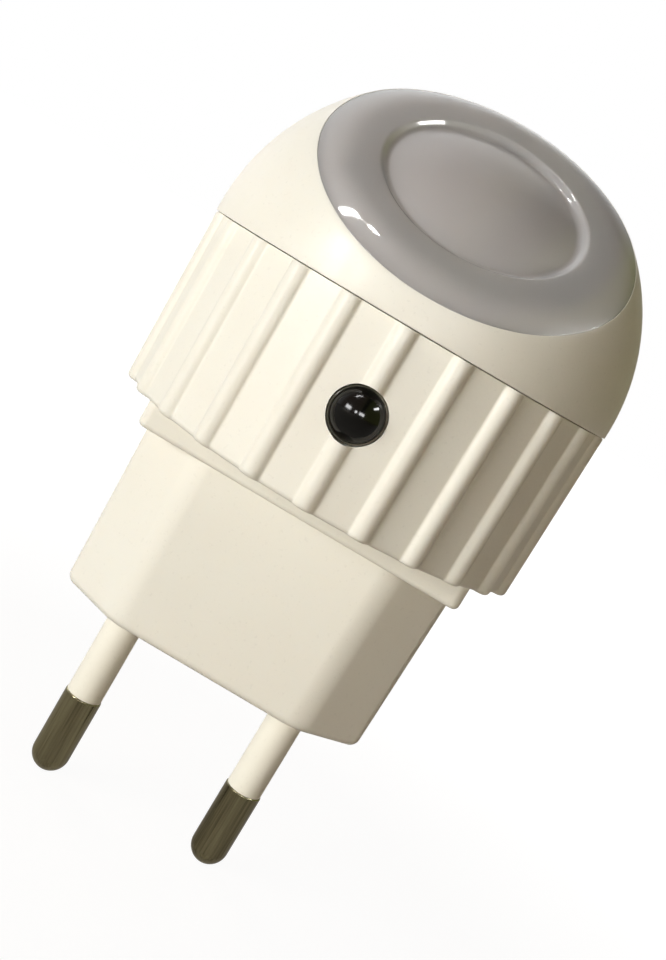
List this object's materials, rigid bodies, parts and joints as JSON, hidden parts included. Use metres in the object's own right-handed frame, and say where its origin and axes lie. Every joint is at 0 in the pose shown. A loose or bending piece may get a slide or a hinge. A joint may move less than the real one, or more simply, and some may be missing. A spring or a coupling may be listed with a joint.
{
  "type": "plug in night light",
  "caption": "Two-pin plug-in night light: ribbed barrel with a dusk sensor under a domed head that turns and carries a slanted, dished milky lens.",
  "frame": {"origin": "centre of the plug's engagement face, where the two pins leave the plug block", "axes": "+Z along the pins, from the plug towards the dome; X through both pins; -Y the front, where the sensor and the lens face"},
  "size_m": [0.0434, 0.0441, 0.0805],
  "materials": {
    "ivory_plastic": "fine spark-eroded texture, satin",
    "sleeve_plastic": "smooth, satin",
    "nickel_plated_brass": "drawn and plated, lightly scratched",
    "strip_brass": "rolled strip",
    "zinc_steel": "zinc plated",
    "spring_steel": "blued spring steel",
    "smoked_plastic": "polished, nearly black",
    "sensor_resin": "clear lacquer over a ceramic disc",
    "board_laminate": "paper laminate",
    "capacitor_case": "moulded case",
    "capacitor_sleeve": "shrink sleeve",
    "black_resin": "moulded epoxy",
    "resistor_lacquer": "dipped lacquer",
    "inner_plastic": "plain moulded",
    "washer_plastic": "acetal",
    "milky_diffuser": "milky lilac grey, polished",
    "reflector_white": "white",
    "lamp_laminate": "white solder mask",
    "lamp_phosphor": "yellow phosphor",
    "wire_insulation": "soft insulation"
  },
  "bodies": {
    "plug_housing": {"plug_block": "ivory_plastic", "left_pin": "nickel_plated_brass", "right_pin": "nickel_plated_brass", "left_pin_sleeve": "sleeve_plastic", "right_pin_sleeve": "sleeve_plastic", "left_contact": "strip_brass", "right_contact": "strip_brass", "ribbed_barrel": "ivory_plastic", "plug_screws": "zinc_steel", "sensor_window": "smoked_plastic", "photocell": "sensor_resin", "driver_board": "board_laminate", "mains_capacitor": "capacitor_case", "smoothing_capacitor": "capacitor_sleeve", "bridge_rectifier": "black_resin", "fuse_resistor": "resistor_lacquer", "bleed_resistors": "resistor_lacquer", "switching_transistor": "black_resin", "board_screws": "zinc_steel", "bearing_deck": "inner_plastic", "friction_washer": "washer_plastic"},
    "head": {"head_base": "inner_plastic", "swivel_retainer": "spring_steel", "head_screws": "zinc_steel", "dome_shell": "ivory_plastic", "lens": "milky_diffuser", "light_tray": "reflector_white", "tray_screws": "zinc_steel", "lamp_board": "lamp_laminate", "lamp_chips": "lamp_phosphor", "lamp_wires": "wire_insulation"}
  },
  "joints": [
    {"name": "head_swivel", "type": "hinge", "parent": "plug_housing", "child": "head", "pos_m": [0, 0, 0.0393], "axis": [0, 0, 1], "range_deg": [-165, 165]}
  ]
}
